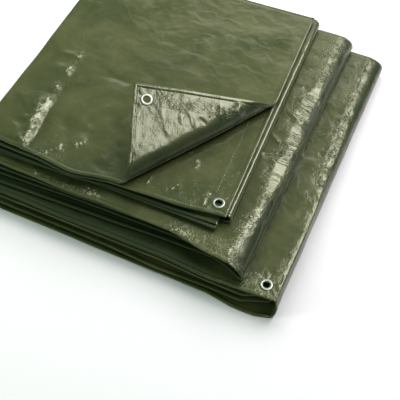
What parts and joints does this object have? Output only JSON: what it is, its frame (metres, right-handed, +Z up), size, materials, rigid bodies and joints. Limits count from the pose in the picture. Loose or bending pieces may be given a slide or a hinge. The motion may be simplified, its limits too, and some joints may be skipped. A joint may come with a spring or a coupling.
{
  "type": "folded tarp",
  "caption": "Hemmed coated sheet folded in half and then back and forth into a low packet, with eyelets and a corner turned back.",
  "frame": {"origin": "middle of the packet's footprint, on the surface that it rests on", "axes": "+Z up; +X towards the packet's stepped fold edges, -Y towards its open front edges; the corner is turned back from the front right"},
  "size_m": [0.61, 0.6188, 0.1746],
  "materials": {
    "cloth": "glossy coated weave, dark olive green",
    "hem": "glossy coated weave, doubled and welded, dark olive green",
    "metal": "bright stamped aluminium"
  },
  "bodies": {
    "root": {"tarp_sheet": "cloth", "hem_patch_bottom": "hem", "eyelet_bottom": "metal", "hem_patch_middle": "hem", "eyelet_middle": "metal", "hem_patch_corner": "hem", "eyelet_corner": "metal"}
  },
  "joints": []
}
